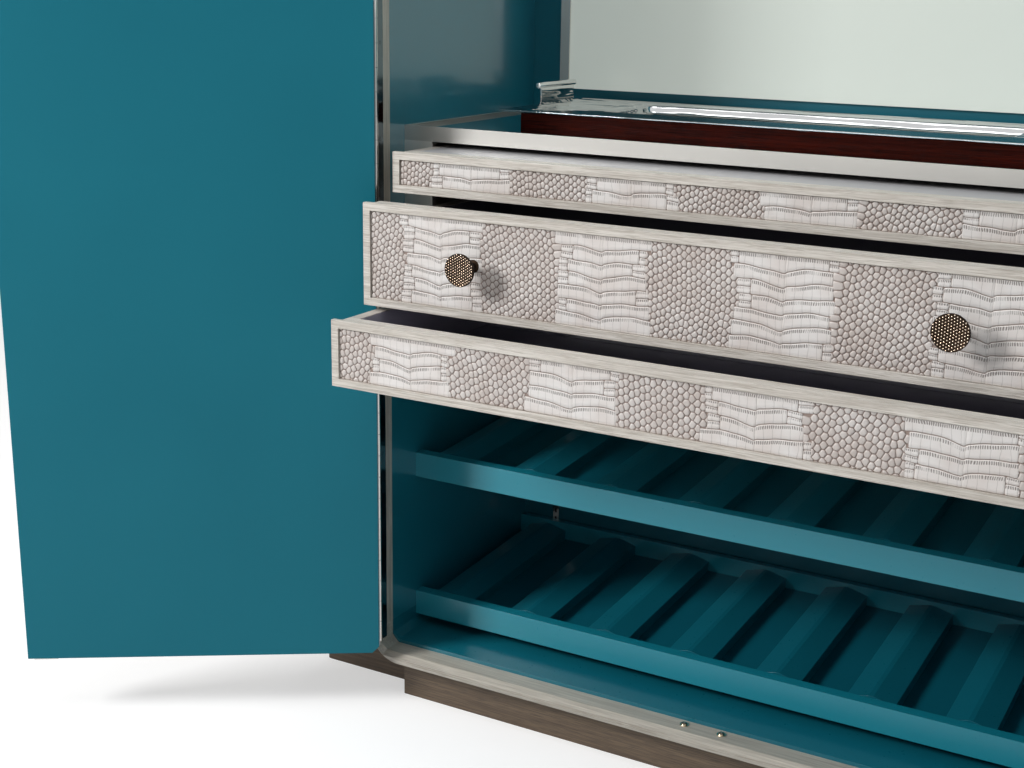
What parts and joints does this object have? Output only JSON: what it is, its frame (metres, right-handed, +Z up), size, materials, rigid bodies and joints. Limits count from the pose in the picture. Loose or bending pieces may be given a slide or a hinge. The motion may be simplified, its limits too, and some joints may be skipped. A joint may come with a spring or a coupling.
{
  "type": "bar cabinet",
  "caption": "Tall bar cabinet with an oak front frame, two hinged doors, a pull-out shelf and two drawers with leather fronts, a mirror-backed counter with a tray, and racks for bottles.",
  "frame": {"origin": "on the floor in the middle of the footprint, under the base's centre brace", "axes": "+Z up, +Y from the doors to the back, +X to the right when seen from the front"},
  "size_m": [1.5282, 0.637, 1.515],
  "materials": {
    "cerused_oak": "satin",
    "brown_oak": "satin",
    "teal_lacquer": "teal satin lacquer",
    "mirror_glass": "polished",
    "dark_glass": "polished dark mirror glass",
    "bright_metal": "polished",
    "silver_paint": "satin metallic lacquer",
    "leather": "embossed scales",
    "drawer_wood": "satin",
    "drawer_lining": "gloss charcoal lacquer",
    "knob_metal": "antique hammered",
    "catch_brass": "polished",
    "dark_wood": "gloss",
    "tray_chrome": "polished"
  },
  "bodies": {
    "case": {"frame_rail_bottom": "cerused_oak", "frame_rail_top": "cerused_oak", "frame_stile_left": "cerused_oak", "frame_stile_right": "cerused_oak", "plinth_front": "brown_oak", "plinth_base": "brown_oak", "wing_left": "brown_oak", "wing_right": "brown_oak", "case_bottom": "brown_oak", "case_top": "brown_oak", "case_back": "brown_oak", "liner_floor": "teal_lacquer", "liner_top": "teal_lacquer", "liner_left": "teal_lacquer", "liner_right": "teal_lacquer", "liner_back": "teal_lacquer", "rack_lower_tray": "teal_lacquer", "rack_lower_ridges": "teal_lacquer", "rack_upper_tray": "teal_lacquer", "rack_upper_ridges": "teal_lacquer", "mirror": "mirror_glass", "counter_glass": "dark_glass", "mirror_trims": "bright_metal", "shelf_standards": "bright_metal", "hinge_frame_leaf_left": "bright_metal", "hinge_frame_leaf_right": "bright_metal", "hinge_pins": "bright_metal", "hinge_screws": "bright_metal", "unit_stiles": "silver_paint", "unit_sides": "silver_paint", "unit_bottom": "silver_paint", "counter": "silver_paint", "drawer_bearers": "drawer_wood", "ball_catches": "catch_brass"},
    "door_left": {"door_left_panel": "cerused_oak", "door_left_lining": "teal_lacquer", "door_left_leaf": "bright_metal", "door_left_strike": "bright_metal", "door_left_knob": "knob_metal"},
    "door_right": {"door_right_panel": "cerused_oak", "door_right_lining": "teal_lacquer", "door_right_leaf": "bright_metal", "door_right_strike": "bright_metal", "door_right_knob": "knob_metal"},
    "drawer_upper": {"drawer_upper_front": "cerused_oak", "drawer_upper_leather": "leather", "drawer_upper_box": "drawer_wood", "drawer_upper_bottom": "drawer_lining"},
    "drawer_middle": {"drawer_middle_front": "cerused_oak", "drawer_middle_leather": "leather", "drawer_middle_box": "drawer_wood", "drawer_middle_bottom": "drawer_lining", "drawer_knobs": "knob_metal"},
    "drawer_lower": {"drawer_lower_front": "cerused_oak", "drawer_lower_leather": "leather", "drawer_lower_box": "drawer_wood", "drawer_lower_bottom": "drawer_lining"},
    "tray_stand": {"tray_stand": "dark_wood"},
    "tray": {"tray": "tray_chrome"}
  },
  "joints": [
    {"name": "door_left_hinge", "type": "hinge", "parent": "case", "child": "door_left", "pos_m": [-0.4185, -0.205, 0.7777], "axis": [0, 0, -1], "range_deg": [-53, 12]},
    {"name": "door_right_hinge", "type": "hinge", "parent": "case", "child": "door_right", "pos_m": [0.4185, -0.205, 0.7777], "axis": [0, 0, 1], "range_deg": [-53, 12]},
    {"name": "drawer_upper_slide", "type": "slide", "parent": "case", "child": "drawer_upper", "axis": [0, -1, 0], "range_m": [-0.0599, 0.1631]},
    {"name": "drawer_middle_slide", "type": "slide", "parent": "case", "child": "drawer_middle", "axis": [0, -1, 0], "range_m": [-0.1174, 0.1056]},
    {"name": "drawer_lower_slide", "type": "slide", "parent": "case", "child": "drawer_lower", "axis": [0, -1, 0], "range_m": [-0.1782, 0.0448]},
    {"name": "stand_lift", "type": "slide", "parent": "case", "child": "tray_stand", "axis": [0, 0, 1], "range_m": [0, 0.05]},
    {"name": "tray_lift", "type": "slide", "parent": "tray_stand", "child": "tray", "axis": [0, 0, 1], "range_m": [0, 0.15]}
  ]
}
